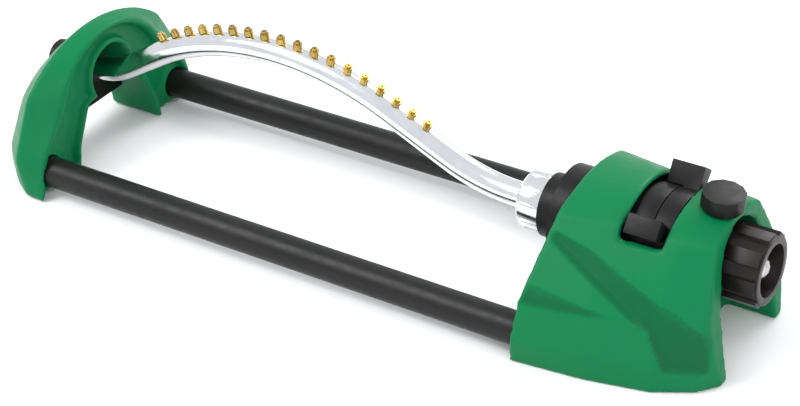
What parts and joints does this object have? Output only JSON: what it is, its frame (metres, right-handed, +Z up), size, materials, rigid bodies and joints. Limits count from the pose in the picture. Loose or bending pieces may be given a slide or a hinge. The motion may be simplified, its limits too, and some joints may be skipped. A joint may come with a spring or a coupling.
{
  "type": "oscillating lawn sprinkler",
  "caption": "Oscillating lawn sprinkler: an arched chrome spray tube swings between green feet tied by black tubes, with range tabs, a flow knob and a hose swivel.",
  "frame": {"origin": "on the lawn, under the middle of the overall length", "axes": "+X towards the hose inlet, +Y to the left when looking along +X, +Z up"},
  "size_m": [0.411, 0.138, 0.0962],
  "materials": {
    "green_shell": "satin moulded polypropylene",
    "black_plastic": "moulded",
    "nut_plastic": "moulded, brownish black",
    "base_tube": "black coating",
    "chrome": "polished",
    "brass": "turned",
    "rubber": "moulded",
    "steel": "plain",
    "white_plastic": "moulded acetal"
  },
  "bodies": {
    "base": {"near_base_tube": "base_tube", "far_base_tube": "base_tube", "end_housing": "green_shell", "end_bracket": "black_plastic", "tail_bush": "white_plastic", "bracket_screws": "steel", "floor_screws": "steel", "tube_screws": "steel", "motor_housing": "green_shell", "floor_plate": "black_plastic", "gear_case": "black_plastic", "case_cover": "black_plastic", "case_gasket": "rubber", "case_screws": "steel", "gear_plate": "white_plastic", "jet_plate": "white_plastic", "gear_pins": "steel"},
    "spray_arm": {"spray_tube": "chrome", "nozzle_01": "brass", "nozzle_02": "brass", "nozzle_03": "brass", "nozzle_04": "brass", "nozzle_05": "brass", "nozzle_06": "brass", "nozzle_07": "brass", "nozzle_08": "brass", "nozzle_09": "brass", "nozzle_10": "brass", "nozzle_11": "brass", "nozzle_12": "brass", "nozzle_13": "brass", "nozzle_14": "brass", "nozzle_15": "brass", "nozzle_16": "brass", "nozzle_17": "brass", "nozzle_18": "brass", "tube_collar": "chrome", "arm_hub": "black_plastic", "arm_gear": "white_plastic", "hub_o_ring": "rubber", "tube_seal": "rubber", "hub_clip": "steel", "tail_sleeve": "black_plastic"},
    "clean_out": {"cleanout_plug": "black_plastic", "cleanout_needle": "steel", "plug_o_ring": "rubber"},
    "near_tab": {"near_range_tab": "black_plastic"},
    "far_tab": {"far_range_tab": "black_plastic"},
    "flow_valve": {"flow_knob": "black_plastic", "valve_spindle": "white_plastic", "spindle_o_ring": "rubber"},
    "swivel_nut": {"inlet_nut": "nut_plastic", "hose_washer": "rubber", "filter_screen": "steel"},
    "idler_one": {"first_idler": "white_plastic"},
    "idler_two": {"second_idler": "white_plastic"},
    "turbine": {"turbine_wheel": "white_plastic", "turbine_shaft": "steel"},
    "reverser": {"reversing_lever": "white_plastic"}
  },
  "joints": [
    {"name": "arm_swing", "type": "hinge", "parent": "base", "child": "spray_arm", "pos_m": [0, 0, 0.046], "axis": [1, 0, 0], "range_deg": [-48, 48]},
    {"name": "plug_pull", "type": "slide", "parent": "spray_arm", "child": "clean_out", "axis": [-1, 0, 0], "range_m": [0, 0.027]},
    {"name": "near_tab_turn", "type": "hinge", "parent": "base", "child": "near_tab", "pos_m": [0.155, 0, 0.046], "axis": [1, 0, 0], "range_deg": [-36, 3]},
    {"name": "far_tab_turn", "type": "hinge", "parent": "base", "child": "far_tab", "pos_m": [0.155, 0, 0.046], "axis": [1, 0, 0], "range_deg": [-15, 24]},
    {"name": "flow_turn", "type": "hinge", "parent": "base", "child": "flow_valve", "pos_m": [0.178, 0, 0.046], "axis": [0.0872, 0, 0.9962], "range_deg": [0, 90]},
    {"name": "nut_spin", "type": "hinge", "parent": "base", "child": "swivel_nut", "pos_m": [0.1853, 0, 0.046], "axis": [1, 0, 0], "continuous": true},
    {"name": "idler_one_spin", "type": "hinge", "parent": "base", "child": "idler_one", "pos_m": [0.121, 0, 0.0284], "axis": [1, 0, 0], "continuous": true},
    {"name": "idler_two_spin", "type": "hinge", "parent": "base", "child": "idler_two", "pos_m": [0.1277, 0.01386, 0.0204], "axis": [1, 0, 0], "continuous": true},
    {"name": "turbine_spin", "type": "hinge", "parent": "base", "child": "turbine", "pos_m": [0.1337, 0.00586, 0.03426], "axis": [1, 0, 0], "continuous": true},
    {"name": "lever_swing", "type": "hinge", "parent": "base", "child": "reverser", "pos_m": [0.158, -0.014, 0.03], "axis": [1, 0, 0], "range_deg": [-10, 10]}
  ],
  "couplings": [
    {"joint": "idler_one_spin", "follows": "arm_swing", "ratio": -2.6667},
    {"joint": "idler_two_spin", "follows": "arm_swing", "ratio": 6.2222},
    {"joint": "turbine_spin", "follows": "arm_swing", "ratio": -14.519}
  ]
}
